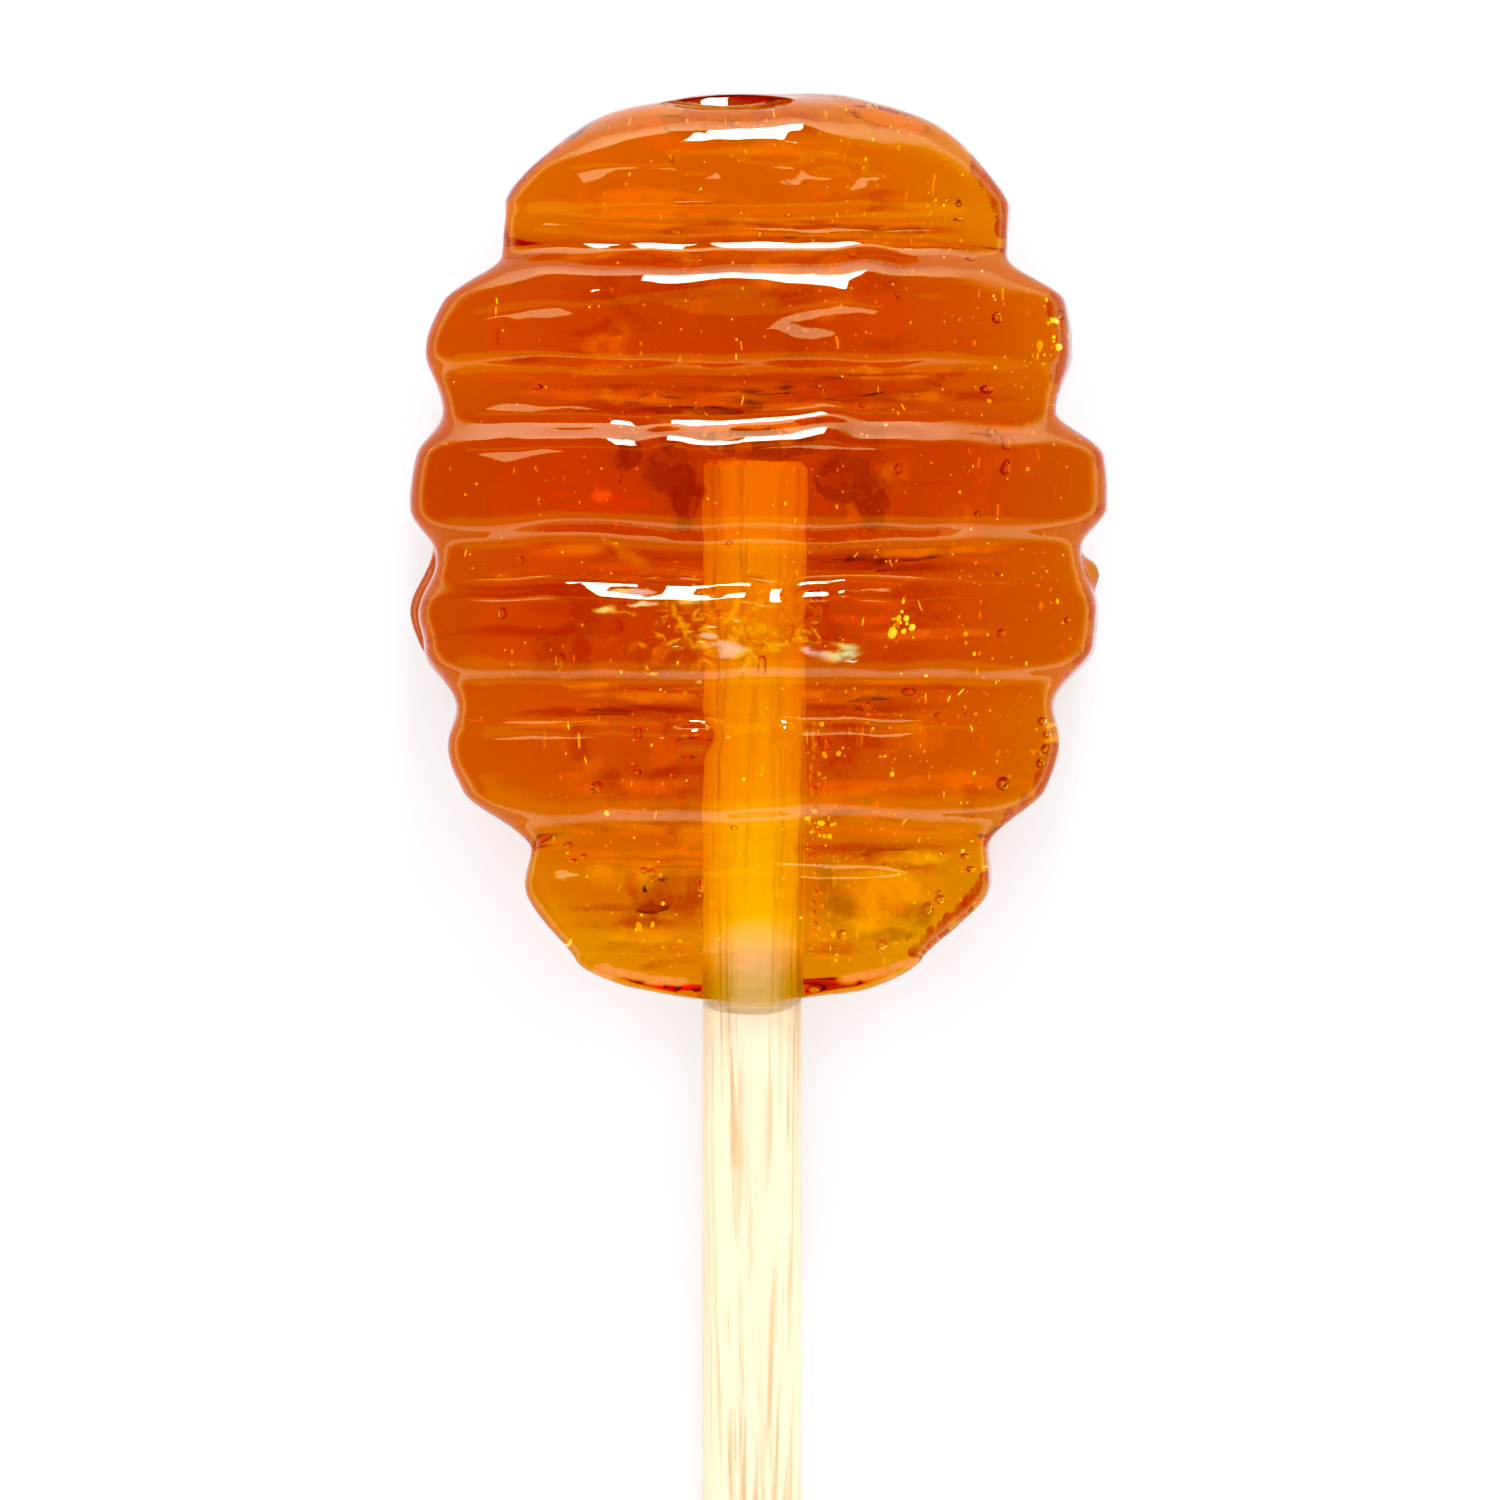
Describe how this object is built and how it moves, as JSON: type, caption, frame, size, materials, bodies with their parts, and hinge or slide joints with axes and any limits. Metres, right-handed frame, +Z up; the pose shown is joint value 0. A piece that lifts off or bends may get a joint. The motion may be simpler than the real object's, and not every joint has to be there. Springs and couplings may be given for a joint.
{
  "type": "honey lollipop",
  "caption": "Slab-like ribbed head of clear amber candy, shaped like a honey dipper, cast round a straight wooden stick, lying on its back.",
  "frame": {"origin": "on the floor, at the middle of the flat spot under the fourth rib, straight below the stick's axis", "axes": "+Z up, +Y from the stick's far end towards the head's rounded top, +X to the right as seen from above"},
  "size_m": [0.028, 0.1291, 0.0124],
  "materials": {
    "amber_candy": "clear amber boiled sugar, glossy",
    "pale_wood": "raw pale wood, fine lengthwise grain"
  },
  "bodies": {
    "root": {"candy": "amber_candy", "stick": "pale_wood"}
  },
  "joints": []
}
